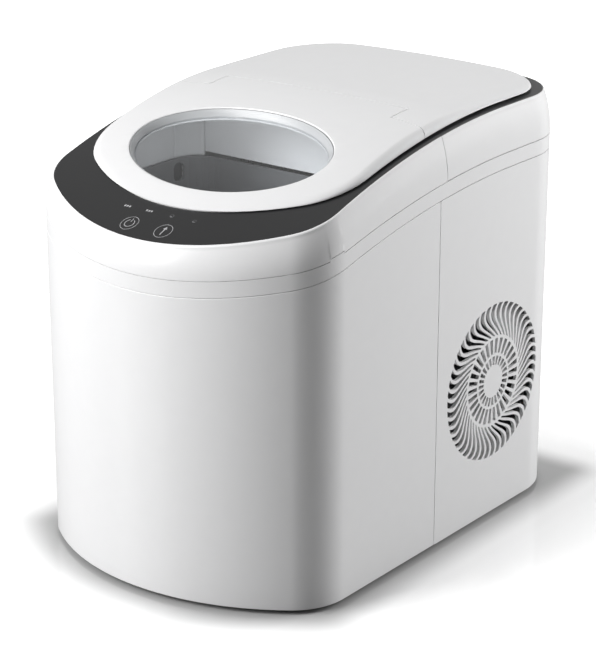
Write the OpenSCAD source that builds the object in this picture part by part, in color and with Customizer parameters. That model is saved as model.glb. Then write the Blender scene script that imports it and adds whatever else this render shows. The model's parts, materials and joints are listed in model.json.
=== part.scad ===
// Countertop ice maker: bowed plastic casing, hinged lid with an oval window, lift-out basket,
// tilting water tray under nine freezing fingers, and a small refrigeration circuit.
// +X is the air outlet side, -Y the bowed front, +Z up. The origin is on the ground, under the middle.

/* [Body] */
// Width across the flat sides
body_w = 242; // [240:1:246]
// Depth from the bowed front to the back
body_d = 350; // [349:1:356]
// Radius of the bowed front
front_r = 173; // [168:1:178]
// Radius of the two front corners
front_corner_r = 43; // [40:1:45]
// Radius of the two rear corners
rear_corner_r = 55; // [48:1:56]
// Thickness of the outer mouldings
wall = 2.5; // [2.2:0.1:2.8]
// Open gap at the seams between mouldings
seam = 0.4; // [0.2:0.1:0.6]
// Height of the casing's lower edge above the ground
foot_h = 3; // [2:0.5:4]
// Distance along the side from the front to the seam of the two shells
side_seam = 175; // [170:1:180]

/* [Shoulder] */
// Height of the upper side seam at the back
shoulder_top = 268.5; // [266:0.5:270]
// Drop of that seam from the back to the front
shoulder_rise = 44.5; // [42:0.5:46]
// Distance from the front at which the seam becomes level
shoulder_run = 262; // [250:1:275]
// Height of the band between the two side seams
band_h = 11; // [9:0.5:13]
// Height of the dark bezel at the back
bezel_top = 299; // [298:0.5:300]
// Drop of the bezel from the back to the front
bezel_rise = 56; // [54:0.5:57]
// Distance from the front at which the bezel becomes level
bezel_run = 260; // [255:1:265]
// Width of the rounded shoulder outside the bezel
shoulder_inset = 6; // [5:0.5:7]

/* [Lid] */
// Height of the lid's top at the back
lid_top = 306.5; // [306:0.5:308]
// Drop of the lid's top from the back to the front
lid_rise = 68; // [66:0.5:69]
// Distance from the front at which the lid becomes level
lid_run = 218; // [214:1:222]
// Width of the lid
lid_w = 218; // [216:1:220]
// Distance from the casing's front to the lid's front
lid_setback = 40; // [39:1:42]
// Distance from the casing's back to the rear cover's back edge
lid_rear_gap = 14; // [12:1:16]
// Radius of the lid's bowed front
lid_front_r = 156; // [153:1:160]
// Radius of the lid's front corners
lid_corner_r = 49.5; // [47:0.5:51]
// Radius of the rear cover's corners
lid_rear_r = 47; // [44:1:49]
// Thickness of the lid's top skin
lid_skin = 3; // [2.8:0.1:3.2]
// Width of the tongue that carries the lid's hinge
tongue_w = 156; // [150:1:158]

/* [Window] */
// Width of the oval window
window_w = 158; // [150:1:160]
// Front-to-back length of the oval window
window_l = 92; // [88:1:94]
// Distance from the casing's front to the window's middle
window_setback = 103; // [101:1:105]

/* [Air outlet] */
// Radius of the swirl of slots
vent_r = 57.5; // [56:0.5:58]
// Distance from the casing's front to the swirl's centre
vent_setback = 245.5; // [244:0.5:247]
// Height of the swirl's centre above the ground
vent_z = 103.8; // [102:0.2:106]
// Number of curved outer slots
outer_slots = 48; // [44:1:50]
// Number of straight middle slots
middle_slots = 30; // [28:1:32]
// Number of straight inner slots
inner_slots = 24; // [22:1:26]

/* [Inside] */
// Height of the basket's rim above the ground
basket_rim = 249; // [246:1:250]
// Height of the basket's underside above the ground
basket_floor = 150; // [148:1:156]
// Number of freezing fingers
fingers = 9; // [7:1:9]
// Spacing of the freezing fingers
finger_pitch = 19; // [18:0.5:19]
// Inner radius of the water tray's trough
tray_r = 20; // [19:0.5:20]
// Number of cooling fins on the condenser
condenser_fin_count = 22; // [16:1:24]
// Number of fan blades
fan_blade_count = 7; // [5:1:9]

/* [Hidden] */
$fn = 48;

front_y = -body_d / 2;
back_y = body_d / 2;
seam_y = front_y + side_seam;
frame_seam_y = seam_y + 7;
shoulder = [shoulder_top, shoulder_rise, shoulder_run];
bezel = [bezel_top, bezel_rise, bezel_run];
lid = [lid_top, lid_rise, lid_run];
curve_steps = 16;
bezel_t = 2.5;
bezel_inner = 8;
vent_y = front_y + vent_setback;
window_y = front_y + window_setback;

// Hinge of the lid: the axis lies in the skin of the tongue, ahead of its rear edge.
tongue_y = front_y + 197;
ear_y = front_y + 177;
hinge_y = tongue_y - 11;
hinge_z = height_at(hinge_y, lid) - 3.2;
hinge_pin_r = 2;
hinge_gap = 1;

// Ice tub: its plan repeats the lid's outline, inset.
tub_inner = 10;
tub_outer = 7.5;
tub_floor = 36;
tub_back = 12;
bay_back = 65;
bay_floor = 196;
ledge_z = basket_floor - 4;
basket_back = 5;

// Water tray and ice pusher pivots.
tray_y = 39;
tray_z = 235;
tray_half = 84;
pusher_y = 9;
pusher_z = 284;
evaporator_z = tray_z + 29;

// Refrigeration circuit.
compressor_x = -45;
compressor_y = 98;
compressor_r = 50;
condenser_x = 44;
condenser_low = 46;
condenser_high = 160;
pump_x = -20;
pump_y = 32;
gland_x = 45;
gland_z = 36;
drain_x = -50;
drain_z = 24;

// Height of a casing curve at a given y: a parabola that climbs from the front and then stays level.
function height_at(y, c) = c[0] - c[1] * pow(max(0, 1 - (y - front_y) / c[2]), 2);

function arc(cx, cy, r, a0, a1, n) =
    [for (i = [1:n]) let (a = a0 + (a1 - a0) * i / n) [cx + r * cos(a), cy + r * sin(a)]];

// Outline with a bowed front, two front corners, straight sides and two rear corners.
function outline(w, bow_r, corner_r, rear_r, y0, y1, inset) =
    let (
        xc = w / 2 - corner_r,
        bow_y = y0 + bow_r,
        yc = bow_y - sqrt(pow(bow_r - corner_r, 2) - xc * xc),
        a = atan2(yc - bow_y, xc),
        rr = max(rear_r - inset, 1),
        xr = w / 2 - inset - rr,
        yr = y1 - inset - rr
    )
    concat(
        arc(0, bow_y, bow_r - inset, -180 - a, a, 24),
        arc(xc, yc, corner_r - inset, a, 0, 8),
        [[xr + rr, yr]],
        arc(xr, yr, rr, 0, 90, 8),
        [[-xr, yr + rr]],
        arc(-xr, yr, rr, 90, 180, 8),
        arc(-xc, yc, corner_r - inset, 180, 180 - a, 8)
    );

function body_outline(inset) =
    outline(body_w, front_r, front_corner_r, rear_corner_r, front_y, back_y, inset);
function lid_outline(inset) =
    outline(lid_w, lid_front_r, lid_corner_r, lid_rear_r,
        front_y + lid_setback, back_y - lid_rear_gap, inset);
function tub_outline(inset, back, rear_r) =
    outline(lid_w, lid_front_r, lid_corner_r, rear_r + inset,
        front_y + lid_setback, back + inset, inset);

function oval(w, l, inset) =
    [for (i = [0:71]) [(w / 2 - inset) * cos(i * 5), window_y + (l / 2 - inset) * sin(i * 5)]];

// Region of the Y-Z plane under a casing curve.
function under(c, lift) = concat(
    [for (i = [-1:curve_steps])
        let (y = front_y + c[2] * i / curve_steps) [y, height_at(y, c) + lift]],
    [[back_y + 10, c[0] + lift], [back_y + 10, -50], [front_y - c[2] / curve_steps, -50]]
);

module across(w) {
    rotate([90, 0, 90])
        translate([0, 0, -w / 2])
            linear_extrude(w)
                children();
}

module ring(outer, inner) {
    difference() {
        polygon(outer);
        polygon(inner);
    }
}

// Upright wall with the plan of its children, cut between a lower and an upper curve.
module banded(low, low_lift, high, high_lift) {
    intersection() {
        translate([0, 0, -10])
            linear_extrude(330)
                children();
        across(body_w + 20)
            difference() {
                polygon(under(high, high_lift));
                polygon(under(low, low_lift));
            }
    }
}

module flat_to(z0, high, high_lift) {
    intersection() {
        translate([0, 0, z0])
            linear_extrude(330)
                children();
        across(body_w + 20)
            polygon(under(high, high_lift));
    }
}

module before_y(y) {
    intersection() {
        children();
        translate([-200, -400, -20])
            cube([400, 400 + y, 360]);
    }
}

module after_y(y) {
    intersection() {
        children();
        translate([-200, y, -20])
            cube([400, 400, 360]);
    }
}

module rod_x(x0, x1, r) {
    translate([x0, 0, 0])
        rotate([0, 90, 0])
            cylinder(h = x1 - x0, r = r);
}

module rod_y(y0, y1, r) {
    translate([0, y0, 0])
        rotate([-90, 0, 0])
            cylinder(h = y1 - y0, r = r);
}

// Round bar through a list of points, with a slightly fuller ball at each bend.
ball_swell = 1.05;

module pipe(points, r) {
    for (i = [0:len(points) - 2])
        segment(points[i], points[i + 1], r);
    for (i = [1:len(points) - 2])
        translate(points[i])
            sphere(r = r * ball_swell);
}

module segment(a, b, r) {
    d = b - a;
    translate(a)
        rotate([0, acos(d[2] / norm(d)), atan2(d[1], d[0])])
            cylinder(h = norm(d), r = r);
}

foot_places = [[85, -118], [-85, -118], [80, 125], [-80, 125]];
base_screw_x = [-25, 25];
base_screw_z = 14;
screw_r = 1.5;

module base_tray() {
    color("gainsboro")
        difference() {
            union() {
                translate([0, 0, foot_h])
                    linear_extrude(3)
                        polygon(body_outline(wall + 0.15));
                translate([0, 0, foot_h])
                    linear_extrude(11)
                        ring(body_outline(wall + 0.15), body_outline(wall + 2.2));
                for (x = base_screw_x)
                    translate([x - 5, back_y - 14, foot_h])
                        cube([10, 14 - wall - 0.15, base_screw_z + 2]);
            }
            for (p = foot_places)
                translate([p[0], p[1], foot_h - 1])
                    cylinder(h = 5, r = 3.05);
            for (x = base_screw_x)
                translate([x, 0, base_screw_z])
                    rod_y(back_y - 15, back_y, screw_r + 0.02);
        }
}

module feet() {
    color("dimgray")
        for (p = foot_places)
            translate([p[0], p[1], 0]) {
                cylinder(h = foot_h, r = 10);
                cylinder(h = foot_h + 3, r = 3);
            }
}

module shell_wall() {
    flat_to(foot_h, shoulder, -band_h - seam / 2)
        ring(body_outline(0), body_outline(wall));
}

module front_shell() {
    color("white")
        before_y(seam_y - seam / 2)
            shell_wall();
}

// Swirl of slots, drawn around the origin: curved outer slots and two rings of straight ones.
vent_disc = 12;
vent_rings = [18.4, 20.4, 31.5, 33.6];
swirl_turn = 18;

function swirl_angle(t) = swirl_turn * sin(125 * t);

function swirl_edge(side, t) =
    let (
        r = vent_rings[3] + (vent_r - vent_rings[3]) * t,
        half_gap = side * (0.9 + 1.25 * t)
    )
    [r * cos(swirl_angle(t)) - half_gap * sin(swirl_angle(t)),
        r * sin(swirl_angle(t)) + half_gap * cos(swirl_angle(t))];

module vent_slots() {
    for (i = [0:outer_slots - 1])
        rotate(i * 360 / outer_slots)
            polygon(concat(
                [for (j = [0:8]) swirl_edge(-1, j / 8)],
                [for (j = [8:-1:0]) swirl_edge(1, j / 8)]
            ));
    straight_slots(middle_slots, vent_rings[1], vent_rings[2], 1.15, 1.6);
    straight_slots(inner_slots, vent_disc, vent_rings[0], 0.85, 1.3);
}

module straight_slots(count, r0, r1, half0, half1) {
    for (i = [0:count - 1])
        rotate(i * 360 / count)
            polygon([[r0, -half0], [r1, -half1], [r1, half1], [r0, half0]]);
}

intake_slots = 12;
screw_places = concat(
    [for (x = base_screw_x) [x, base_screw_z]],
    [[-58, 130], [58, 130], [-55, 235], [55, 235]]
);

module rear_shell() {
    color("white")
        difference() {
            after_y(seam_y + seam / 2)
                shell_wall();
            translate([body_w / 2 - wall - 1, vent_y, vent_z])
                rotate([90, 0, 90])
                    linear_extrude(wall + 2)
                        vent_slots();
            for (i = [0:intake_slots - 1])
                translate([-body_w / 2 - 1, vent_y - 46.5 + i * 8, vent_z - 40])
                    cube([wall + 2, 4, 80]);
            translate([gland_x, 0, gland_z])
                rod_y(back_y - wall - 1, back_y + 1, 7);
            translate([drain_x, 0, drain_z])
                rod_y(back_y - wall - 1, back_y + 1, 9);
            for (p = screw_places)
                translate([p[0], 0, p[1]]) {
                    rod_y(back_y - wall - 1, back_y, screw_r + 0.1);
                    rod_y(back_y - 1.4, back_y + 1, 3.7);
                }
        }
}

module shell_screws() {
    color("silver")
        for (p = screw_places)
            translate([p[0], 0, p[1]]) {
                rod_y(back_y - 10, back_y - 1, screw_r);
                rod_y(back_y - 1.4, back_y - 0.2, 3.5);
            }
}

module shoulder_band() {
    color("white")
        banded(shoulder, seam / 2 - band_h, shoulder, -seam / 2)
            ring(body_outline(0), body_outline(wall));
}

// Casing between the upper side seam and the bezel: its steps lean in as a parabola does.
shoulder_steps = [0, 0.35, 0.55, 0.75, 0.9, 1];

module top_frame() {
    for (i = [0:len(shoulder_steps) - 2])
        let (
            from = shoulder_steps[i],
            to = shoulder_steps[i + 1],
            inset = i == 0 ? 0 : (shoulder_inset - 0.5) * pow((from + to) / 2, 2)
        )
        banded(shoulder + from * (bezel - shoulder), i == 0 ? seam / 2 : -1.5,
            shoulder + to * (bezel - shoulder), 0)
            ring(body_outline(inset), body_outline(min(inset + wall, shoulder_inset)));
}

module top_frame_front() {
    color("white")
        before_y(frame_seam_y - seam / 2)
            top_frame();
}

module top_frame_rear() {
    color("white")
        after_y(frame_seam_y + seam / 2)
            top_frame();
}

lamp_row_y = front_y + 32.2;
lamp_places = [-28.2, -9.6, 9.6, 28.2];
lamp_r = 1.1;

module top_bezel() {
    color("dimgray")
        difference() {
            banded(bezel, -bezel_t, bezel, 0)
                ring(body_outline(shoulder_inset + 0.15), lid_outline(bezel_inner));
            for (x = lamp_places)
                translate([x, lamp_row_y, bezel_top - bezel_rise - 10])
                    cylinder(h = 40, r = lamp_r + 0.03);
        }
}

module indicator_lenses() {
    color("white")
        for (x = lamp_places)
            translate([x, lamp_row_y, height_at(lamp_row_y, bezel) - 3.6])
                cylinder(h = 3.5, r = lamp_r);
}

board_y = front_y + 24;
board_tilt = 21;

module control_board() {
    translate([0, board_y, height_at(board_y, bezel) - 9])
        rotate([board_tilt, 0, 0]) {
            color("darkgreen")
                translate([-45, -12, 0])
                    cube([90, 24, 1.6]);
            color("gold")
                for (x = [-14.3, 14.3])
                    translate([x, -7, 1.6])
                        cylinder(h = 3, r = 4);
            color("black")
                translate([-8, -2, -2])
                    cube([16, 10, 2]);
        }
}

// Plan of the moving lid, and of the fixed cover behind it, shrunk by half of the hinge gap.
module lid_region(gap) {
    intersection() {
        polygon(lid_outline(0));
        union() {
            translate([-lid_w, front_y])
                square([2 * lid_w, ear_y - front_y - gap]);
            translate([-tongue_w / 2 + gap, front_y])
                square([tongue_w - 2 * gap, tongue_y - front_y]);
        }
    }
}

module cover_region() {
    difference() {
        polygon(lid_outline(0));
        translate([-lid_w, front_y])
            square([2 * lid_w, ear_y - front_y]);
        translate([-tongue_w / 2, front_y])
            square([tongue_w, tongue_y - front_y + hinge_gap]);
    }
}

// Keeps only what lies more than a given distance above the bezel.
module above_bezel(lift) {
    difference() {
        children();
        across(body_w + 20)
            polygon(under(bezel, lift));
    }
}

lid_screw_places = [[-72, -97], [72, -97], [-91, -60], [91, -60], [-70, -12], [70, -12]];
lid_gap = 0.6;
lid_inner_drop = 7.1;
lid_inner_t = 2;

module hinge_block(x0, x1) {
    intersection() {
        translate([x0, hinge_y - 4.5, hinge_z - 4.5])
            cube([x1 - x0, 9, 12]);
        across(body_w)
            polygon(under(lid, -1));
    }
}

module lid_shell() {
    color("white")
        difference() {
            union() {
                above_bezel(0.5)
                    banded(lid, -lid_skin, lid, 0)
                        lid_region(lid_gap);
                banded(bezel, 0.5, lid, -1)
                    intersection() {
                        lid_region(lid_gap);
                        ring(lid_outline(0), lid_outline(2.5));
                    }
                for (side = [-1, 1])
                    hinge_block(side * 71.5 - 5.5, side * 71.5 + 5.5);
                for (p = lid_screw_places)
                    translate([p[0], p[1], height_at(p[1], lid) - lid_inner_drop + 1.5])
                        cylinder(h = lid_inner_drop - 2.5, r = 3);
            }
            translate([0, 0, 200])
                linear_extrude(120)
                    polygon(oval(window_w, window_l, 0));
            for (side = [-1, 1])
                translate([side * 72, hinge_y, hinge_z])
                    rod_x(-6.5, 6.5, hinge_pin_r + 0.06);
            for (p = lid_screw_places)
                translate([p[0], p[1], height_at(p[1], lid) - 20])
                    cylinder(h = 18, r = 1.25);
        }
}

module window_ring() {
    color("lightgray")
        banded(lid, -7, lid, -0.1)
            ring(oval(window_w, window_l, 0.1), oval(window_w, window_l, 2.6));
}

module lid_window() {
    color([0.85, 0.88, 0.9, 0.4])
        banded(lid, -6.5, lid, -4.5)
            polygon(oval(window_w, window_l, 2.7));
}

module lid_inner() {
    color("whitesmoke")
        difference() {
            banded(lid, -lid_inner_drop - lid_inner_t, lid, -lid_inner_drop)
                difference() {
                    polygon(lid_outline(12.5));
                    polygon(oval(window_w, window_l, 5));
                    translate([-lid_w, 0])
                        square([2 * lid_w, lid_w]);
                }
            for (p = lid_screw_places)
                translate([p[0], p[1], height_at(p[1], lid) - 20])
                    cylinder(h = 18, r = 1.3);
        }
}

module lid_screws() {
    color("silver")
        for (p = lid_screw_places)
            translate([p[0], p[1], height_at(p[1], lid) - lid_inner_drop - lid_inner_t - 2.6]) {
                cylinder(h = 1.4, r = 2.6);
                cylinder(h = 8, r = 1.2);
            }
}

module hinge_pins() {
    color("silver")
        for (side = [-1, 1])
            translate([side * 78, hinge_y, hinge_z])
                rod_x(-11, 11, hinge_pin_r);
}

module rear_cover() {
    color("white")
        difference() {
            union() {
                banded(lid, -lid_skin, lid, 0)
                    cover_region();
                banded(bezel, 0.1, lid, -1)
                    intersection() {
                        cover_region();
                        ring(lid_outline(0), lid_outline(2.5));
                    }
                for (side = [-1, 1])
                    hinge_block(side * 84.5 - 5.5, side * 84.5 + 5.5);
            }
            for (side = [-1, 1])
                translate([side * 84.5, hinge_y, hinge_z])
                    rod_x(-7, 7, hinge_pin_r + 0.02);
        }
}

module tub_plan(inset) {
    polygon(tub_outline(inset, tub_back, 8));
}

module bay_plan(grow) {
    translate([-lid_w / 2 + tub_inner - grow, tub_back - 30])
        square([lid_w - 2 * tub_inner + 2 * grow, bay_back - tub_back + 30 + grow]);
}

module inner_liner() {
    color("lightgray")
        difference() {
            union() {
                flat_to(tub_floor - wall, bezel, -bezel_t - 0.7)
                    polygon(tub_outline(tub_outer, tub_back + wall, 8));
                flat_to(bay_floor - wall, bezel, -bezel_t - 0.7)
                    bay_plan(wall);
            }
            difference() {
                translate([0, 0, tub_floor])
                    linear_extrude(300)
                        tub_plan(tub_inner);
                translate([0, 0, ledge_z])
                    linear_extrude(3.8)
                        ring(tub_outline(tub_inner - 1, tub_back + 1, 8), tub_outline(16, tub_back - 6, 8));
            }
            translate([0, 0, bay_floor])
                linear_extrude(300)
                    bay_plan(0);
            translate([0, tray_y, tray_z])
                rod_x(-110, 110, 4.06);
            translate([0, pusher_y, pusher_z])
                rod_x(-110, 110, 3.06);
            for (x = [-86, 86])
                translate([x, 0, evaporator_z])
                    rod_y(bay_back - 1, bay_back + wall + 1, 5.2);
            translate([-70, 0, 262])
                rod_y(bay_back - 1, bay_back + wall + 1, 4.2);
            translate([pump_x, 0, 42])
                rod_y(tub_back - 1, tub_back + wall + 1, 4.05);
            translate([-90, 0, 44])
                rod_y(tub_back - 1, tub_back + wall + 1, 5.2);
            for (side = [-1, 1])
                translate([0, -70, 262])
                    rod_x(side * 101 - 4, side * 101 + 4, 4.05);
            for (x = [-80:16:80])
                translate([x - 2, tub_back + 8, bay_floor - wall - 1])
                    cube([4, 40, wall + 2]);
        }
}

module insulation() {
    color("khaki")
        before_y(tub_back - 2)
            difference() {
                flat_to(foot_h + 3.2, shoulder, -band_h - 12)
                    polygon(tub_outline(-3, tub_back + 10, 8));
                translate([0, 0, tub_floor - wall])
                    linear_extrude(300)
                        polygon(tub_outline(tub_outer - 0.2, tub_back + 20, 8));
            }
}

module ice_basket() {
    color("slategray")
        difference() {
            translate([0, 0, basket_floor])
                linear_extrude(basket_rim - basket_floor)
                    polygon(tub_outline(12.5, basket_back, 25));
            translate([0, 0, basket_floor + 2])
                linear_extrude(basket_rim)
                    polygon(tub_outline(14.5, basket_back - 2, 24));
            for (x = [-70:14:70])
                translate([x - 2.5, -95, basket_floor - 1])
                    cube([5, 80, 4]);
            for (side = [-1, 1])
                translate([side * 96, -15, 0])
                    for (z = [237, 241])
                        translate([0, 0, z])
                            rod_x(-4, 4, 5);
        }
}

module water_tray() {
    color("whitesmoke")
        difference() {
            translate([0, tray_y, tray_z])
                union() {
                    difference() {
                        rod_x(-tray_half - 2, tray_half + 2, tray_r + 2);
                        rod_x(-tray_half, tray_half, tray_r);
                        translate([-100, -30, 0])
                            cube([200, 60, 40]);
                    }
                    for (side = [-1, 1])
                        translate([side * (tray_half + 1), 0, 0])
                            rod_x(-1, 1, 8);
                    rod_x(tray_half + 1, 101.3, 4);
                    rod_x(-101.3, -tray_half - 1, 4);
                }
            translate([0, tray_y, tray_z])
                rod_x(-102, -90, 2.56);
        }
}

module tray_motor() {
    translate([0, tray_y, tray_z]) {
        color("silver")
            rod_x(-102.5, -92, 2.5);
        color("white")
            rod_x(-116.5, -102.5, 17);
        color("black")
            translate([-114, -8, -24])
                cube([9, 16, 10]);
    }
}

pusher_ribs = 11;

module ice_pusher() {
    color("whitesmoke") {
        translate([-88, pusher_y - 1, basket_rim + 1.5])
            cube([176, 2, pusher_z - basket_rim - 1.5]);
        for (i = [0:pusher_ribs - 1])
            translate([-80 + i * 160 / (pusher_ribs - 1) - 0.75, pusher_y, basket_rim + 3])
                cube([1.5, 3.5, pusher_z - basket_rim - 8]);
        translate([0, pusher_y, pusher_z])
            rod_x(-101.3, 101.3, 3);
    }
}

module evaporator() {
    color("silver")
        translate([0, tray_y, evaporator_z]) {
            rod_x(-86, 86, 5);
            for (side = [-1, 1])
                translate([side * 86, 0, 0]) {
                    sphere(r = 5 * ball_swell);
                    rod_y(0, 36, 5);
                }
            for (i = [0:fingers - 1])
                translate([(i - (fingers - 1) / 2) * finger_pitch, 0, -43]) {
                    cylinder(h = 4, r1 = 2, r2 = 4);
                    translate([0, 0, 4])
                        cylinder(h = 39, r = 4);
                }
        }
}

module evaporator_cover() {
    color("whitesmoke")
        difference() {
            translate([-94, 19, evaporator_z + 7])
                cube([188, 44, 12]);
            translate([-92, 21, evaporator_z + 6])
                cube([184, 40, 11]);
        }
}

module ice_sensors() {
    color("black")
        for (side = [-1, 1])
            translate([side * 99.4, -70, 262])
                rod_x(-4, 4, 4);
}

module water_pump() {
    color("dimgray")
        translate([pump_x, pump_y, 0]) {
            translate([0, 0, 24])
                cylinder(h = 28, r = 14);
            translate([-9, -9, foot_h + 3.1])
                cube([18, 18, 18]);
            translate([0, 0, 42])
                rod_y(-19.5, -8, 4);
            translate([0, 4, 50])
                cylinder(h = 10, r = 4);
        }
}

module pump_hose() {
    color("whitesmoke")
        pipe([[pump_x, pump_y + 4, 60], [pump_x, pump_y + 4, 180], [pump_x, 80, 180], [-70, 80, 180],
            [-70, 80, 262], [-70, 56, 262]], 4);
}

// Lathe profile of the welded steel can: a straight side between two domed ends.
function dome(r, z, h, a0, a1) =
    [for (i = [0:8]) let (a = a0 + (a1 - a0) * i / 8) [max(r * cos(a), 0), z + h * sin(a)]];

module compressor() {
    color("black")
        translate([compressor_x, compressor_y, 0]) {
            rotate_extrude()
                polygon(concat(dome(compressor_r, 40, 22, -90, 0), dome(compressor_r, 115, 35, 0, 90)));
            translate([-44, -34, 13])
                cube([88, 68, 3]);
            translate([0, 0, 14])
                cylinder(h = 12, r = 30);
        }
}

module compressor_grommets() {
    color("dimgray")
        for (x = [-38, 38])
            for (y = [-28, 28])
                translate([compressor_x + x, compressor_y + y, foot_h + 3.05])
                    cylinder(h = 13 - foot_h - 3.1, r = 6);
}

module terminal_box() {
    color("black")
        translate([compressor_x - 14, compressor_y + compressor_r + 0.1, 70])
            cube([28, 16, 30]);
}

coil_rows = 5;
coil_pitch = 22;
coil_half = 38;
fin_span = 72;
fin_t = 0.6;

function coil_z(i) = condenser_low + 13 + i * coil_pitch;

module condenser_coil() {
    color("peru")
        translate([condenser_x, vent_y, 0]) {
            for (i = [0:coil_rows - 1])
                translate([0, 0, coil_z(i)])
                    rod_y(-coil_half, coil_half, 4);
            for (i = [0:coil_rows - 2])
                translate([0, (i % 2 == 0 ? 1 : -1) * coil_half, coil_z(i) + coil_pitch / 2])
                    rotate([90, 0, 90])
                        rotate_extrude(angle = 180, start = i % 2 == 0 ? -90 : 90)
                            translate([coil_pitch / 2, 0])
                                circle(r = 4);
        }
}

module condenser_fins() {
    color("silver")
        difference() {
            for (i = [0:condenser_fin_count - 1])
                translate([condenser_x - 15, vent_y - fin_t / 2 + fin_span * (i / (condenser_fin_count - 1) - 0.5),
                    condenser_low])
                    cube([30, fin_t, condenser_high - condenser_low]);
            for (i = [0:coil_rows - 1])
                translate([condenser_x, vent_y, coil_z(i)])
                    rod_y(-coil_half, coil_half, 4.02);
        }
}

shroud_half = 54;
shroud_x = 84;
fan_r = 50;

module fan_shroud() {
    color("dimgray")
        translate([0, vent_y, vent_z])
            difference() {
                union() {
                    translate([shroud_x, -shroud_half, -shroud_half])
                        cube([2, 2 * shroud_half, 2 * shroud_half]);
                    rod_x(shroud_x, body_w / 2 - wall - 1, fan_r + 4);
                }
                difference() {
                    rod_x(shroud_x - 1, body_w / 2, fan_r + 2);
                    rod_x(shroud_x - 1, shroud_x + 2, 23);
                    for (a = [30, 150, 270])
                        rotate([a, 0, 0])
                            translate([shroud_x - 1, -3, 0])
                                cube([3, 6, fan_r + 6]);
                }
                rod_x(shroud_x - 2, shroud_x + 4, 20.1);
            }
}

module fan_motor() {
    translate([0, vent_y, vent_z]) {
        color("black")
            rod_x(66, 90, 20);
        color("silver")
            rod_x(90, 106, 2.5);
    }
}

module fan_blades() {
    color("lightgray")
        translate([0, vent_y, vent_z])
            difference() {
                union() {
                    rod_x(93, 109, 16);
                    for (i = [0:fan_blade_count - 1])
                        rotate([i * 360 / fan_blade_count, 0, 0])
                            translate([101, 0, 30.5])
                                rotate([0, 0, 32])
                                    cube([1.8, 26, 35], center = true);
                }
                rod_x(92, 107, 2.56);
            }
}

module discharge_tube() {
    color("peru")
        pipe([[compressor_x + compressor_r + 0.2, compressor_y, 100], [14, compressor_y, 100],
            [14, compressor_y, 168], [condenser_x, compressor_y, 168], [condenser_x, compressor_y, 160.1]],
            3);
}

module suction_tube() {
    color("peru")
        pipe([[86, tray_y + 36.1, evaporator_z], [86, 92, evaporator_z], [86, 92, 180],
            [compressor_x, 92, 180], [compressor_x, 92, 151]], 3.5);
}

module capillary_tube() {
    color("peru")
        pipe([[-86, tray_y + 36.1, evaporator_z], [-86, 100, evaporator_z], [-86, 100, 210],
            [10, 100, 210], [10, 140, 210], [19.9, 140, 210]], 2.5);
}

module hot_gas_valve() {
    color("silver")
        translate([20, 132, 203])
            cube([16, 16, 14]);
    color("navy")
        translate([28, 140, 217])
            cylinder(h = 22, r = 10);
}

module filter_drier() {
    color("peru")
        translate([28, 140, 0]) {
            translate([0, 0, 70])
                cylinder(h = 70, r = 8);
            translate([0, 0, 140])
                cylinder(h = 62.9, r = 3);
        }
}

module power_board() {
    color("darkgreen")
        translate([-70, 158, 190])
            cube([90, 1.6, 62]);
    color("goldenrod")
        translate([-55, 140, 205])
            cube([30, 18, 26]);
    color("black")
        translate([-10, 144, 215])
            cube([16, 14, 14]);
}

module drain_hose() {
    color("whitesmoke")
        difference() {
            pipe([[-90, tub_back + wall + 0.1, 44], [-90, 26, 44], [-90, 26, drain_z],
                [-100, 26, drain_z], [-100, 150, drain_z], [drain_x, 150, drain_z],
                [drain_x, 170, drain_z]], 5);
            translate([drain_x, 0, drain_z])
                rod_y(162, 171, 3.2);
        }
}

module drain_plug() {
    color("dimgray")
        translate([drain_x, 0, drain_z]) {
            rod_y(171.5, 174.8, 8.6);
            rod_y(163, 172, 3.1);
        }
}

module cord_gland() {
    color("black")
        translate([gland_x, 0, gland_z])
            difference() {
                union() {
                    rod_y(back_y - 12, back_y - 0.2, 6.9);
                    rod_y(back_y - wall - 3, back_y - wall - 0.1, 9.5);
                }
                rod_y(back_y - 13, back_y + 1, 3.6);
            }
}

base_tray();
feet();
front_shell();
rear_shell();
shoulder_band();
top_frame_front();
top_frame_rear();
top_bezel();
control_board();
indicator_lenses();
lid_shell();
window_ring();
lid_window();
lid_inner();
lid_screws();
hinge_pins();
rear_cover();
inner_liner();
insulation();
ice_basket();
water_tray();
tray_motor();
ice_pusher();
evaporator();
evaporator_cover();
ice_sensors();
water_pump();
pump_hose();
compressor();
compressor_grommets();
terminal_box();
condenser_coil();
condenser_fins();
fan_shroud();
fan_motor();
fan_blades();
discharge_tube();
suction_tube();
capillary_tube();
filter_drier();
hot_gas_valve();
power_board();
drain_hose();
drain_plug();
cord_gland();
shell_screws();
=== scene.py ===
"""Countertop ice maker: smooth casing, lid, window and materials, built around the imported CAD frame.

Lengths are in metres, in the part's own frame: +X is the air outlet side, -Y the bowed front, +Z up.
"""
import json
import math

import bmesh
import bpy
from mathutils import Matrix, Vector


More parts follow.
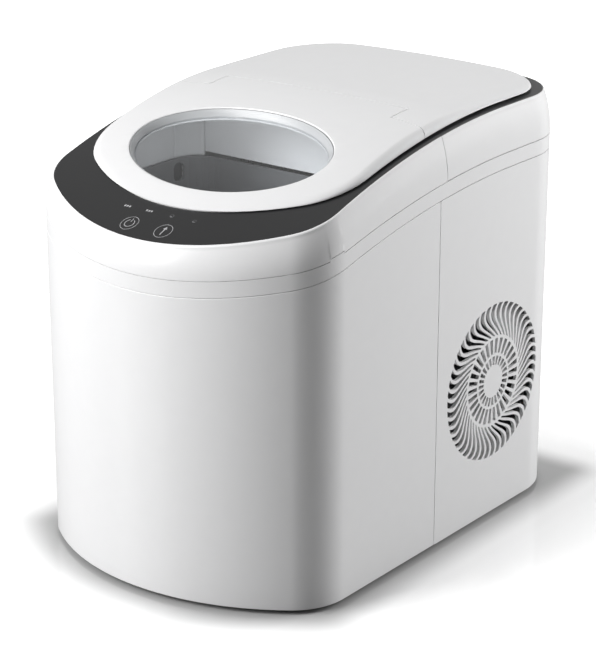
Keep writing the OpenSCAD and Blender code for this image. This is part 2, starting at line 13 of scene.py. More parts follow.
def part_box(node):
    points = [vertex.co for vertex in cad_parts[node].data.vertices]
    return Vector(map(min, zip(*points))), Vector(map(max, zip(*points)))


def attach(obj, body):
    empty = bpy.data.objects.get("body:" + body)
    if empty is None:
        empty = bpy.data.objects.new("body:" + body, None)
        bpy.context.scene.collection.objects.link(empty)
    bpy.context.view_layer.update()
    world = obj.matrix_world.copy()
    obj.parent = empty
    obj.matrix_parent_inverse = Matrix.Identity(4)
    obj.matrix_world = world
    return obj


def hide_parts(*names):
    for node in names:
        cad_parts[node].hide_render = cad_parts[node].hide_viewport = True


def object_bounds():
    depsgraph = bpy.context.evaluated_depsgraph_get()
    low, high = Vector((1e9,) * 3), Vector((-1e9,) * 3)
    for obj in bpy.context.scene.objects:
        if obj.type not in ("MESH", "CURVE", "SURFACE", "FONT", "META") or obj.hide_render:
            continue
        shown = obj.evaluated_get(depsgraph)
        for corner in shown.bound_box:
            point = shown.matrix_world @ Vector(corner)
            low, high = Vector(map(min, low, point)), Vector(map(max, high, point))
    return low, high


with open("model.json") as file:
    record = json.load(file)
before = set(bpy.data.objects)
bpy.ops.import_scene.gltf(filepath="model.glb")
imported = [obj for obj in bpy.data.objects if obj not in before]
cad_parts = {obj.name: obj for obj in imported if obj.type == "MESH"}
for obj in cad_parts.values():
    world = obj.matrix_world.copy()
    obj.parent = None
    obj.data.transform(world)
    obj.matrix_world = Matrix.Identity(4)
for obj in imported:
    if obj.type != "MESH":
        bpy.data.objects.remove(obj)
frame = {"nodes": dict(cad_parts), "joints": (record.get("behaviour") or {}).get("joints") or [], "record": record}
cad_low, cad_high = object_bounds()
MM = 0.001

# ---------------------------------------------------------------- casing dimensions
WIDTH = cad_high.x - cad_low.x
FRONT, BACK = cad_low.y, cad_high.y
WALL = 2.5 * MM
# Half the width of a seam between two casing pieces.
GAP = 0.25 * MM
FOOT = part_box("front_shell")[0].z
SHELL_SEAM = (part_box("front_shell")[1].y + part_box("rear_shell")[0].y) / 2
FRAME_SEAM = (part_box("top_frame_front")[1].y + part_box("top_frame_rear")[0].y) / 2
# Height of the band between the shells and the rounded shoulder.
BAND = 11 * MM

# Each curve is a top height, the drop to the front, and the run over which it climbs.
SHOULDER = (0.2685, 0.0445, 0.262)
BEZEL = (0.299, 0.056, 0.260)
LID = (cad_high.z, 0.0707, 0.215)
# The lid falls towards its sides by this much times the square of the distance.
CROWN = 0.3
# How far the shoulder leans in over its whole height, and how far in its rounded rim ends.
SHOULDER_LEAN = 5.5 * MM
RIM = 6.2 * MM

# Each plan is a width, bow radius, front corner radius, rear corner radius, front and back.
BODY_PLAN = (WIDTH, 0.173, 0.043, 0.055, FRONT, BACK)
LID_PLAN = (0.218, 0.156, 0.0495, 0.047, FRONT + 0.040, BACK - 0.014)
# The lid ends in a tongue between two ears of the rear cover.
TONGUE = 0.156
EAR_Y = FRONT + 0.177
TONGUE_Y = FRONT + 0.1975
# The window's width, length and middle.
WINDOW = (0.158, 0.092, FRONT + 0.103)
# Reach of the lid's rounded edge.
ROLL = 5.5 * MM
# Steps at which flat sheets are cut, so that they can be bent.
STRIP_Y, STRIP_X = 0.005, 0.011
CORNER_STEPS, BOW_STEPS = 28, 64


def joint_place(name):
    return next(Vector(j["pos_m"]) for j in frame["joints"] if j["name"] == name)


HINGE = joint_place("lid_hinge")
FAN = joint_place("fan_spin")


def height(y, curve):
    top, rise, run = curve
    return top - rise * max(0.0, 1 - (y - FRONT) / run) ** 2


def on(curve, lift=0.0):
    """Height function that follows a casing curve."""
    return lambda y: height(y, curve) + lift


def level(z):
    return lambda y: z


def lid_top(x, y):
    return height(y, LID) - CROWN * x * x


# ---------------------------------------------------------------- plans: points with outward normals
def arc(cx, cy, r, start, stop, steps):
    out = []
    for i in range(steps + 1):
        a = start + (stop - start) * i / steps
        out.append((cx + r * math.cos(a), cy + r * math.sin(a), math.cos(a), math.sin(a)))
    return out


def side(x, y0, y1, nx):
    count = max(1, round(abs(y1 - y0) / STRIP_Y))
    return [(x, y0 + (y1 - y0) * i / count, nx, 0.0) for i in range(count + 1)]


def front_half(plan, y_end):
    """Plan from the left side at y_end, round the bowed front, to the right side at y_end."""
    width, bow, corner, _, y0, _ = plan
    xc = width / 2 - corner
    bow_y = y0 + bow
    yc = bow_y - math.sqrt((bow - corner) ** 2 - xc * xc)
    a = math.atan2(yc - bow_y, xc)
    path = side(-width / 2, y_end, yc, -1)[:-1]
    path += arc(-xc, yc, corner, -math.pi, -math.pi - a, CORNER_STEPS)[:-1]
    path += arc(0, bow_y, bow, -math.pi - a, a, BOW_STEPS)[:-1]
    path += arc(xc, yc, corner, a, 0, CORNER_STEPS)[:-1]
    path += side(width / 2, yc, y_end, 1)
    return path


def rear_half(plan, y_start):
    """Plan from the right side at y_start, round the back, to the left side at y_start."""
    width, _, _, rear, _, y1 = plan
    xr, yr = width / 2 - rear, y1 - rear
    path = side(width / 2, y_start, yr, 1)[:-1]
    path += arc(xr, yr, rear, 0, math.pi / 2, CORNER_STEPS)
    path += arc(-xr, yr, rear, math.pi / 2, math.pi, CORNER_STEPS)
    path += side(-width / 2, yr, y_start, -1)[1:]
    return path


def whole(plan, y_join=0.0):
    return front_half(plan, y_join) + rear_half(plan, y_join)[1:-1]


def inset(path, distance):
    return [(x - nx * distance, y - ny * distance) for x, y, nx, ny in path]


def oval(shrink, count=120):
    """The window's oval, as a path with outward normals."""
    width, length, middle = WINDOW
    out = []
    for i in range(count):
        a = 2 * math.pi * i / count
        n = Vector((math.cos(a) / width, math.sin(a) / length)).normalized()
        x = width / 2 * math.cos(a) - n.x * shrink
        y = middle + length / 2 * math.sin(a) - n.y * shrink
        out.append((x, y, n.x, n.y))
    return out


# ---------------------------------------------------------------- meshes
def smooth(mesh):
    for polygon in mesh.polygons:
        polygon.use_smooth = True


def to_object(name, bm):
    mesh = bpy.data.meshes.new(name)
    bm.to_mesh(mesh)
    bm.free()
    obj = bpy.data.objects.new(name, mesh)
    bpy.context.scene.collection.objects.link(obj)
    smooth(mesh)
    return obj


def bridge(bm, rows):
    """Faces between each closed row of points and the next one."""
    for a, b in zip(rows, rows[1:]):
        for j in range(len(a)):
            k = (j + 1) % len(a)
            bm.faces.new((a[j], b[j], b[k], a[k]))


def sweep(name, path, section, closed=False):
    """Solid wall along a plan. section is a closed loop of (inset, height function)."""
    bm = bmesh.new()
    rings = [
        [bm.verts.new((x - nx * d, y - ny * d, z(y - ny * d))) for d, z in section]
        for x, y, nx, ny in path
    ]
    if closed:
        rings.append(rings[0])
    else:
        bm.faces.new(rings[0])
        bm.faces.new(reversed(rings[-1]))
    bridge(bm, rings)
    bmesh.ops.recalc_face_normals(bm, faces=bm.faces)
    return to_object(name, bm)


def slice_mesh(bm, normal, positions):
    """Cuts every face along planes, without taking anything away."""
    for p in positions:
        bmesh.ops.bisect_plane(
            bm, geom=bm.verts[:] + bm.edges[:] + bm.faces[:], plane_co=Vector(normal) * p, plane_no=normal,
            dist=1e-7,
        )


def flat_fill(loops, x_step=0.0):
    """Flat sheet between 2-D loops, cut into strips so that it can be bent."""
    bm = bmesh.new()
    add_loops(bm, loops)
    bmesh.ops.triangle_fill(bm, edges=bm.edges[:], use_beauty=True)
    strips(bm, x_step)
    return bm


def add_loops(bm, loops, z=0.0):
    """Draws closed loops of edges, and returns the points of each."""
    made = []
    for loop in loops:
        verts = [bm.verts.new((p[0], p[1], z)) for p in loop]
        for a, b in zip(verts, verts[1:] + verts[:1]):
            bm.edges.new((a, b))
        made.append(verts)
    return made


def loop_edges(bm, loops):
    return [bm.edges.get(pair) for loop in loops for pair in zip(loop, loop[1:] + loop[:1])]


def strips(bm, x_step=STRIP_X):
    ys = [v.co.y for v in bm.verts]
    first, last = math.ceil(min(ys) / STRIP_Y), math.floor(max(ys) / STRIP_Y)
    slice_mesh(bm, (0, 1, 0), [i * STRIP_Y for i in range(first, last + 1)])
    if x_step:
        reach = max(abs(v.co.x) for v in bm.verts)
        steps = int(reach / x_step)
        slice_mesh(bm, (1, 0, 0), [i * x_step for i in range(-steps, steps + 1)])


def face_up(bm):
    bmesh.ops.recalc_face_normals(bm, faces=bm.faces)
    if sum(f.normal.z * f.calc_area() for f in bm.faces) < 0:
        bmesh.ops.reverse_faces(bm, faces=bm.faces)


def thicken(obj, thickness):
    """Gives a sheet a wall below it."""
    solid = obj.modifiers.new("wall", "SOLIDIFY")
    solid.thickness = thickness
    solid.offset = -1
    solid.use_even_offset = True


def soften(obj, width, segments=3, angle=40):
    """Rounds the sharp edges and keeps the flats flat."""
    bevel = obj.modifiers.new("edges", "BEVEL")
    bevel.width = width
    bevel.segments = segments
    bevel.limit_method = "ANGLE"
    bevel.angle_limit = math.radians(angle)
    bevel.use_clamp_overlap = True
    bevel.harden_normals = True


def place(obj, body, slot, material, *replaced):
    """Gives a piece its look and its body, and hides the CAD nodes that it stands for. slot is not used."""
    obj.data.materials.append(material)
    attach(obj, body)
    if replaced:
        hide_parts(*replaced)


def prism(bm, points, lift, direction):
    """Closed prism over a 3-D polygon."""
    base = [bm.verts.new(p) for p in points]
    top = [bm.verts.new(Vector(p) + Vector(direction) * lift) for p in points]
    bm.faces.new(base)
    bm.faces.new(reversed(top))
    for i, a in enumerate(base):
        j = (i + 1) % len(base)
        bm.faces.new((a, top[i], top[j], base[j]))


def cut(obj, cutter_bm, name):
    """Takes the cutter's solids out of a piece."""
    bmesh.ops.recalc_face_normals(cutter_bm, faces=cutter_bm.faces)
    cutter = to_object(name, cutter_bm)
    modifier = obj.modifiers.new("holes", "BOOLEAN")
    modifier.operation = "DIFFERENCE"
    modifier.solver = "EXACT"
    modifier.object = cutter
    bpy.context.view_layer.update()
    evaluated = obj.evaluated_get(bpy.context.evaluated_depsgraph_get())
    mesh = bpy.data.meshes.new_from_object(evaluated)
    obj.modifiers.remove(modifier)
    obj.data = mesh
    bpy.data.objects.remove(cutter)
    smooth(mesh)


# ---------------------------------------------------------------- materials
# The part of a noise texture's range that colour and gloss are spread over.
NOISE_LOW, NOISE_HIGH = 0.3, 0.7
GRAIN_DEPTH = 0.0002


def add(tree, kind, **inputs):
    node = tree.nodes.new(kind)
    for key, value in inputs.items():
        node.inputs[key.replace("_", " ")].default_value = value
    return node


def calc(tree, operation, *values):
    """Output of a Math node. Each value is a socket or a number."""
    node = tree.nodes.new("ShaderNodeMath")
    node.operation = operation
    for socket, value in zip(node.inputs, values):
        if isinstance(value, bpy.types.NodeSocket):
            tree.links.new(value, socket)
        else:
            socket.default_value = value
    return node.outputs["Value"]


def vector_calc(tree, operation, first, second=None):
    """Vector Math node. first is a socket, and second a vector."""
    node = tree.nodes.new("ShaderNodeVectorMath")
    node.operation = operation
    tree.links.new(first, node.inputs[0])
    if second:
        node.inputs[1].default_value = second
    return node


def shade(colour, factor):
    return (*[min(1.0, c * factor) for c in colour], 1.0)


def surface(name, colour, roughness, spread, patch, grain=0.0, fine=900.0, stretch=(1, 1, 1),
            metallic=0.0, rough_spread=0.03, subsurface=0.0):
    """Moulded or metal surface: slow colour variation, and if asked gloss variation too, with a fine
    grain in relief. spread is the colour's, patch and fine are the scales of the two noises."""
    material = bpy.data.materials.new(name)
    material.use_nodes = True
    tree = material.node_tree
    bsdf = tree.nodes["Principled BSDF"]
    link = tree.links.new
    place_node = add(tree, "ShaderNodeTexCoord")
    mapping = add(tree, "ShaderNodeMapping", Scale=stretch)
    link(place_node.outputs["Object"], mapping.inputs["Vector"])
    slow = add(tree, "ShaderNodeTexNoise", Scale=patch, Detail=3.0, Roughness=0.5)
    link(mapping.outputs["Vector"], slow.inputs["Vector"])
    ramp = add(tree, "ShaderNodeValToRGB")
    ramp.color_ramp.interpolation = "EASE"
    ramp.color_ramp.elements[0].position = NOISE_LOW
    ramp.color_ramp.elements[0].color = shade(colour, 1 - spread)
    ramp.color_ramp.elements[1].position = NOISE_HIGH
    ramp.color_ramp.elements[1].color = shade(colour, 1 + spread)
    link(slow.outputs["Fac"], ramp.inputs["Fac"])
    link(ramp.outputs["Color"], bsdf.inputs["Base Color"])
    bsdf.inputs["Roughness"].default_value = roughness
    if rough_spread:
        gloss = add(tree, "ShaderNodeMapRange", From_Min=NOISE_LOW, From_Max=NOISE_HIGH,
                    To_Min=roughness - rough_spread, To_Max=roughness + rough_spread)
        link(slow.outputs["Fac"], gloss.inputs["Value"])
        link(gloss.outputs["Result"], bsdf.inputs["Roughness"])
    bsdf.inputs["Metallic"].default_value = metallic
    bsdf.inputs["IOR"].default_value = 1.5
    bsdf.inputs["Subsurface Weight"].default_value = subsurface
    if grain:
        detail = add(tree, "ShaderNodeTexNoise", Scale=fine, Detail=2.0)
        link(mapping.outputs["Vector"], detail.inputs["Vector"])
        bump = add(tree, "ShaderNodeBump", Strength=grain, Distance=GRAIN_DEPTH)
        link(detail.outputs["Fac"], bump.inputs["Height"])
        link(bump.outputs["Normal"], bsdf.inputs["Normal"])
    return material


def clear_plastic(name):
    """Clear moulded pane: a faint grey tint, and gloss that grows at low angles."""
    material = bpy.data.materials.new(name)
    material.use_nodes = True
    tree = material.node_tree
    link = tree.links.new
    tree.nodes.remove(tree.nodes["Principled BSDF"])
    place_node = add(tree, "ShaderNodeTexCoord")
    slow = add(tree, "ShaderNodeTexNoise", Scale=25.0, Detail=2.0)
    link(place_node.outputs["Object"], slow.inputs["Vector"])
    tint = add(tree, "ShaderNodeValToRGB")
    tint.color_ramp.elements[0].color = (0.93, 0.94, 0.95, 1)
    tint.color_ramp.elements[1].color = (0.96, 0.97, 0.98, 1)
    link(slow.outputs["Fac"], tint.inputs["Fac"])
    clear = add(tree, "ShaderNodeBsdfTransparent")
    link(tint.outputs["Color"], clear.inputs["Color"])
    gloss = add(tree, "ShaderNodeBsdfGlossy", Roughness=0.04)
    facing = add(tree, "ShaderNodeLayerWeight", Blend=0.5)
    steep = calc(tree, "POWER", facing.outputs["Facing"], 3.0)
    sheen = add(tree, "ShaderNodeMapRange", To_Min=0.03, To_Max=0.75)
    link(steep, sheen.inputs["Value"])
    mix = add(tree, "ShaderNodeMixShader")
    link(sheen.outputs["Result"], mix.inputs["Fac"])
    link(clear.outputs["BSDF"], mix.inputs[1])
    link(gloss.outputs["BSDF"], mix.inputs[2])
    link(mix.outputs["Shader"], tree.nodes["Material Output"].inputs["Surface"])
    return material


WHITE = surface("white_gloss_plastic", (0.86, 0.86, 0.865), 0.27, spread=0.004, patch=90, grain=0.04,
                fine=700, rough_spread=0)
LID_WHITE = surface("lid_gloss_plastic", (0.80, 0.80, 0.805), 0.27, spread=0.004, patch=90, grain=0.04,
                    fine=700, rough_spread=0)
PANEL = surface("dark_control_panel", (0.014, 0.014, 0.0147), 0.30, spread=0.06, patch=9, grain=0.08,
                fine=1400, rough_spread=0)
PRINT = surface("panel_print", (0.42, 0.42, 0.43), 0.45, spread=0.15, patch=400)
FAINT_PRINT = surface("faint_panel_print", (0.13, 0.13, 0.135), 0.5, spread=0.2, patch=500)
RING = surface("window_ring_plastic", (0.44, 0.45, 0.46), 0.3, spread=0.01, patch=90, grain=0.05)
PANE = clear_plastic("clear_pane")
LINER = surface("liner_plastic", (0.70, 0.71, 0.72), 0.42, spread=0.015, patch=60, grain=0.15, fine=1100)
BASKET = surface("basket_plastic", (0.135, 0.138, 0.142), 0.48, spread=0.06, patch=60, grain=0.3, fine=1300)

SLOT_MATERIALS = {
    "shell_white": WHITE,
    "lid_white": LID_WHITE,
    "bezel_dark": PANEL,
    "ring_grey": RING,
    "window_clear": PANE,
    "liner_grey": LINER,
    "basket_grey": BASKET,
    "lens_white": surface("lens_plastic", (0.20, 0.20, 0.21), 0.3, spread=0.1, patch=300),
    "tray_white": surface("tray_plastic", (0.78, 0.79, 0.80), 0.38, spread=0.015, patch=60, grain=0.15),
    "motor_white": surface("gearbox_plastic", (0.62, 0.61, 0.58), 0.5, spread=0.04, patch=60, grain=0.3),
    "plastic_black": surface("black_plastic", (0.02, 0.02, 0.021), 0.45, spread=0.15, patch=80, grain=0.4),
    "plastic_grey": surface("shroud_plastic", (0.03, 0.03, 0.032), 0.5, spread=0.12, patch=70, grain=0.4),
    "fan_grey": surface("fan_plastic", (0.08, 0.08, 0.085), 0.42, spread=0.08, patch=70, grain=0.3),
    "rubber_dark": surface("dark_rubber", (0.025, 0.025, 0.026), 0.7, spread=0.2, patch=120, grain=0.6),
    "silicone": surface("silicone_hose", (0.62, 0.63, 0.61), 0.4, spread=0.05, patch=90, grain=0.2,
                        subsurface=0.2),
    "foam": surface("insulating_foam", (0.70, 0.60, 0.36), 0.9, spread=0.12, patch=160, grain=1.0,
                    fine=500),
    "steel": surface("zinc_steel", (0.56, 0.56, 0.57), 0.32, spread=0.08, patch=220, grain=0.25,
                     stretch=(1, 1, 12), metallic=1.0),
    "nickel": surface("nickel_plate", (0.66, 0.64, 0.61), 0.16, spread=0.05, patch=120, grain=0.1,
                      metallic=1.0),
    "aluminium": surface("fin_aluminium", (0.68, 0.69, 0.70), 0.34, spread=0.06, patch=150, grain=0.3,
                         stretch=(1, 8, 1), metallic=1.0),
    "copper": surface("drawn_copper", (0.70, 0.34, 0.20), 0.28, spread=0.14, patch=90, grain=0.2,
                      metallic=1.0),
    "enamel_black": surface("black_enamel", (0.012, 0.012, 0.013), 0.30, spread=0.2, patch=60, grain=0.35),
    "board_green": surface("circuit_board", (0.02, 0.13, 0.05), 0.38, spread=0.35, patch=260, grain=0.4),
}

for part in frame["record"]["subparts"]:
    node = frame["nodes"][part["node"]]
    node.data.materials.clear()
    node.data.materials.append(SLOT_MATERIALS[part["material_slot"]])


# ---------------------------------------------------------------- casing shells
def wall_section(low, high, outside=0, inside=WALL):
    """Upright wall between two height functions, from one inset to another."""
    return [(outside, low), (outside, high), (inside, high), (inside, low)]


shell_wall = wall_section(level(FOOT), on(SHOULDER, -BAND - GAP))
front_shell = sweep("casing_front", front_half(BODY_PLAN, SHELL_SEAM - GAP), shell_wall)
soften(front_shell, 0.35 * MM)
place(front_shell, "casing", "shell_white", WHITE, "front_shell")

rear_shell = sweep("casing_rear", rear_half(BODY_PLAN, SHELL_SEAM + GAP), shell_wall)

# The air outlet is a swirl of slots round the fan's axis: curved outer ones and two rings of straight
# ones. Each row is a number of slots, the radii they run between, their half width at each end, the
# turn of the swirl, the steps along a slot, and the radius of its corners. Lengths are in millimetres.
OUTLET = (
    (48, 33.6, 57.5, 1.1, 2.5, math.radians(18), 14, 0.85),
    (30, 20.4, 31.5, 1.35, 1.85, 0.0, 2, 0.5),
    (24, 12.0, 18.4, 1.0, 1.5, 0.0, 2, 0.4),
)
SWIRL_PHASE = math.radians(125)
# The air intake in the left side: slots, their pitch, width and half height, and the first one's place.
INTAKE_SLOTS = 12
INTAKE_PITCH, INTAKE_WIDTH, INTAKE_REACH = 8 * MM, 4 * MM, 0.040
INTAKE_START = FAN.y - 46.5 * MM
# The round holes in the back: the CAD node in each, and the radius.
BACK_HOLES = (("cord_gland", 7 * MM), ("drain_plug", 9 * MM))
# The shell screws sit in round hollows in the back. Each has an x and a z.
SCREW_PLACES = ((-0.025, 0.014), (0.025, 0.014), (-0.058, 0.130), (0.058, 0.130), (-0.055, 0.235),
                (0.055, 0.235))
SCREW_HOLLOW, SCREW_RADIUS = 1.4 * MM, 3.7 * MM


def rounded_half(distance, length, half, radius):
    """Half width of a slot with rounded corners, at a distance along it."""
    end = min(distance, length - distance)
    if end >= radius:
        return half
    return half - radius + math.sqrt(max(0.0, radius ** 2 - (radius - end) ** 2))


def slot_outline(r0, r1, half0, half1, turn, steps, radius):
    """A slot that runs outward from r0 to r1, swung sideways as it goes. Returns (y, z) points."""
    length = r1 - r0
    ends = [radius * f for f in (0, 0.12, 0.4, 0.75)]
    middle = [radius + (length - 2 * radius) * i / steps for i in range(steps + 1)]
    runs = ends + middle + [length - e for e in reversed(ends)]
    left, right = [], []
    for run in runs:
        t = run / length
        angle = turn * math.sin(SWIRL_PHASE * t)
        r = r0 + run
        half = rounded_half(run, length, half0 + (half1 - half0) * t, radius)
        c, s = math.cos(angle), math.sin(angle)
        left.append((r * c - half * s, r * s + half * c))
        right.append((r * c + half * s, r * s - half * c))
    return left + right[::-1]


def ring_of_slots(bm, count, outline, x0, depth):
    """Slots all round the fan's axis, as prisms that reach from x0 outward."""
    for i in range(count):
        turn = Matrix.Rotation(2 * math.pi * i / count, 2)
        points = [turn @ Vector(p) for p in outline]
        prism(bm, [(x0, FAN.y + p.x, FAN.z + p.y) for p in points], depth, (1, 0, 0))


def rod(bm, start, axis, length, radius, count=40):
    side_a = Vector(axis).orthogonal().normalized()
    side_b = Vector(axis).cross(side_a)
    ring = []
    for i in range(count):
        a = 2 * math.pi * i / count
        ring.append(Vector(start) + (side_a * math.cos(a) + side_b * math.sin(a)) * radius)
    prism(bm, ring, length, axis)


def box_prism(bm, low, high):
    (x0, y0, z0), (x1, y1, z1) = low, high
    prism(bm, [(x0, y0, z0), (x0, y1, z0), (x0, y1, z1), (x0, y0, z1)], x1 - x0, (1, 0, 0))


holes = bmesh.new()
through = WALL + 2 * MM
for count, start, end, half0, half1, turn, steps, corner in OUTLET:
    outline = slot_outline(start * MM, end * MM, half0 * MM, half1 * MM, turn, steps, corner * MM)
    ring_of_slots(holes, count, outline, WIDTH / 2 - WALL - MM, through)
for i in range(INTAKE_SLOTS):
    y = INTAKE_START + i * INTAKE_PITCH
    box_prism(holes, (-WIDTH / 2 - MM, y, FAN.z - INTAKE_REACH),
              (-WIDTH / 2 + WALL + MM, y + INTAKE_WIDTH, FAN.z + INTAKE_REACH))
for node, radius in BACK_HOLES:
    low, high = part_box(node)
    middle = (low + high) / 2
    rod(holes, (middle.x, BACK - WALL - MM, middle.z), (0, 1, 0), through, radius)
for x, z in SCREW_PLACES:
    rod(holes, (x, BACK - SCREW_HOLLOW, z), (0, 1, 0), 3 * MM, SCREW_RADIUS)
cut(rear_shell, holes, "casing_holes")
soften(rear_shell, 0.3 * MM, segments=2)
place(rear_shell, "casing", "shell_white", WHITE, "rear_shell")


# ---------------------------------------------------------------- band and rounded shoulder
# The upper seam steps up for a short tab at each front corner.
TAB = (FRONT + 0.0555, FRONT + 0.0675)
TAB_RISE = 1.6 * MM
# Half the distance over which the seam steps up or down.
STEP_RUN = 0.05 * MM


def seam_height(lift):
    """Height function of the seam above the band."""
    def z(y):
        tab = TAB_RISE if TAB[0] < y < TAB[1] else 0.0
        return height(y, SHOULDER) + lift + tab
    return z


def with_tab(path):
    """Adds close pairs of points where the seam steps, so that the step is upright."""
    out = []
    for a, b in zip(path, path[1:]):
        out.append(a)
        crossings = []
        for y in TAB:
            for edge in (y - STEP_RUN, y + STEP_RUN):
                if (a[1] - edge) * (b[1] - edge) < 0:
                    crossings.append((edge - a[1]) / (b[1] - a[1]))
        for t in sorted(crossings):
            out.append(tuple(a[i] + (b[i] - a[i]) * t for i in range(4)))
    return out + [path[-1]]


band_section = wall_section(on(SHOULDER, GAP - BAND), seam_height(-GAP))
band_path = with_tab(whole(BODY_PLAN) + whole(BODY_PLAN)[:1])[:-1]
shoulder_band = sweep("shoulder_band_skin", band_path, band_section, closed=True)
soften(shoulder_band, 0.3 * MM)
place(shoulder_band, "casing", "shell_white", WHITE, "shoulder_band")


def between(part):
    """Height part of the way from the upper seam to just above the bezel's edge."""
    low, high = seam_height(GAP), on(BEZEL, 0.25 * MM)
    return lambda y: low(y) + part * (high(y) - low(y))


def frame_section():
    """Outside: leans in as a parabola, with a small rounded rim. Inside: slopes down to the wall."""
    steps, turn = 14, 0.93
    outer = [(SHOULDER_LEAN * (turn * i / steps) ** 2, between(turn * i / steps)) for i in range(steps)]
    rim_start = SHOULDER_LEAN * turn ** 2
    rim = []
    for a in range(0, 91, 15):
        c, s = math.cos(math.radians(a)), math.sin(math.radians(a))
        rim.append((rim_start + (RIM - rim_start) * (1 - c), between(turn + (1 - turn) * s)))
    inner = [(RIM, on(BEZEL, -4 * MM)), (WALL, between(0.35)), (WALL, between(0))]
    return outer + rim + inner


top_front = sweep("shoulder_front", with_tab(front_half(BODY_PLAN, FRAME_SEAM - GAP)), frame_section())
soften(top_front, 0.3 * MM, angle=50)
place(top_front, "casing", "shell_white", WHITE, "top_frame_front")
top_rear = sweep("shoulder_rear", rear_half(BODY_PLAN, FRAME_SEAM + GAP), frame_section())
soften(top_rear, 0.3 * MM, angle=50)
place(top_rear, "casing", "shell_white", WHITE, "top_frame_rear")


# ---------------------------------------------------------------- dark control panel round the lid
PANEL_THICKNESS = 2.5 * MM
UNDER_LID = 8 * MM
panel_outer = inset(whole(BODY_PLAN), RIM + 0.1 * MM)
panel = flat_fill([panel_outer, inset(whole(LID_PLAN), UNDER_LID)])
for v in panel.verts:
    v.co.z = height(v.co.y, BEZEL)
face_up(panel)
panel = to_object("control_panel", panel)
thicken(panel, PANEL_THICKNESS)
soften(panel, 0.25 * MM, segments=2)
place(panel, "casing", "bezel_dark", PANEL, "top_bezel")


# ---------------------------------------------------------------- marks on the panel
PRINT_LIFT = 0.06 * MM
BUTTON_X, BUTTON_Y = 14.3 * MM, FRONT + 18 * MM
BUTTON_RADIUS, POWER_RADIUS = 6.3 * MM, 3.6 * MM
LAMP_Y = FRONT + 32.2 * MM
NEAR_LAMP_X, FAR_LAMP_X = 9.6 * MM, 28.2 * MM


def on_panel(points):
    return [(x, y, height(y, BEZEL) + PRINT_LIFT) for x, y in points]


def ribbon(bm, centre, radius, width, start=0.0, stop=360.0, count=64):
    """Flat arc of a ring on the panel."""
    closed = stop - start >= 360
    rows = []
    for i in range(count if closed else count + 1):
        a = math.radians(start + (stop - start) * i / count)
        c, s = math.cos(a), math.sin(a)
        spots = [(centre[0] + r * c, centre[1] + r * s) for r in (radius, radius - width)]
        rows.append([bm.verts.new(p) for p in on_panel(spots)])
    if closed:
        rows.append(rows[0])
    for a, b in zip(rows, rows[1:]):
        bm.faces.new((a[0], b[0], b[1], a[1]))


def patch(bm, points):
    bm.faces.new([bm.verts.new(p) for p in on_panel(points)])


def bar(bm, x, y, half_x, half_y):
    x0, x1 = x - half_x, x + half_x
    y0, y1 = y - half_y, y + half_y
    patch(bm, [(x0, y0), (x1, y0), (x1, y1), (x0, y1)])


prints = bmesh.new()
for sign in (-1, 1):
    ribbon(prints, (sign * BUTTON_X, BUTTON_Y), BUTTON_RADIUS, 0.35 * MM)
# A plain power sign on the left and a plain arrow on the right.
ribbon(prints, (-BUTTON_X, BUTTON_Y), POWER_RADIUS, 0.5 * MM, 120, 420)
bar(prints, -BUTTON_X, BUTTON_Y + 2.9 * MM, 0.25 * MM, 1.7 * MM)
bar(prints, BUTTON_X, BUTTON_Y - 0.9 * MM, 0.45 * MM, 2.8 * MM)
arrow_y = BUTTON_Y + 1.6 * MM
patch(prints, [(BUTTON_X - 1.6 * MM, arrow_y), (BUTTON_X + 1.6 * MM, arrow_y),
               (BUTTON_X, BUTTON_Y + 4.1 * MM)])
# Three short bars over each of the two left lamps.
for x in (-FAR_LAMP_X, -NEAR_LAMP_X):
    for step in (-1, 0, 1):
        bar(prints, x + step * 2.0 * MM, LAMP_Y, 0.65 * MM, 0.8 * MM)
face_up(prints)
place(to_object("panel_marks", prints), "casing", "bezel_dark", PRINT)
faint = bmesh.new()
for x in (NEAR_LAMP_X, FAR_LAMP_X):
    ribbon(faint, (x, LAMP_Y), 1.5 * MM, 0.35 * MM, count=24)
face_up(faint)
place(to_object("panel_faint_marks", faint), "casing", "bezel_dark", FAINT_PRINT)


# ---------------------------------------------------------------- lid and rear cover
# Distances in from the lid's outer edge, and out from the window's edge, at which its skin has rings.
EDGE_STEPS = [ROLL * (1 - math.cos(math.radians(a))) for a in range(0, 91, 10)]
HOLE_STEPS = [0.9 * MM, 0.45 * MM, 0.15 * MM, 0.0]
HOLE_ROUND = HOLE_STEPS[0]
# Half the width of the hinge seam.
SEAM_GAP = 0.35 * MM
# Where the gap under the lid's edge starts to open, from the front, and over what length it does.
GAP_START, GAP_RUN = 0.06, 0.2
LID_SKIN = 2.4 * MM


def edge_gap(y):
    """Shadow gap between the panel and the lid's lower edge: it opens towards the back."""
    return (0.9 + min(1.0, max(0.0, (y - FRONT - GAP_START) / GAP_RUN))) * MM


def roll_height(x, y, along):
    """Height of the lid's skin. along is the distance in from its outer edge, and past ROLL the
    distance into the rounded edge of the window."""
    top = lid_top(x, y)
    if along > ROLL + 1e-9:
        near = min(1.0, (along - ROLL) / HOLE_ROUND)
        return top - HOLE_ROUND * (1 - math.sqrt(max(0.0, 1 - near * near)))
    low = height(y, BEZEL) + edge_gap(y)
    inward = 1 - along / ROLL
    return low + max(0.0, top - low) * math.sqrt(max(0.0, 1 - inward * inward))


def ring_band(bm, a, b):
    count = len(a)
    for i in range(count):
        j = (i + 1) % count
        bm.faces.new((a[i], a[j], b[j], b[i]))


def seam_bend(x):
    """The hinge seam curves forward near the lid's sides."""
    return 5 * MM * max(0.0, (abs(x) - TONGUE / 2) / (LID_PLAN[0] / 2 - TONGUE / 2)) ** 2


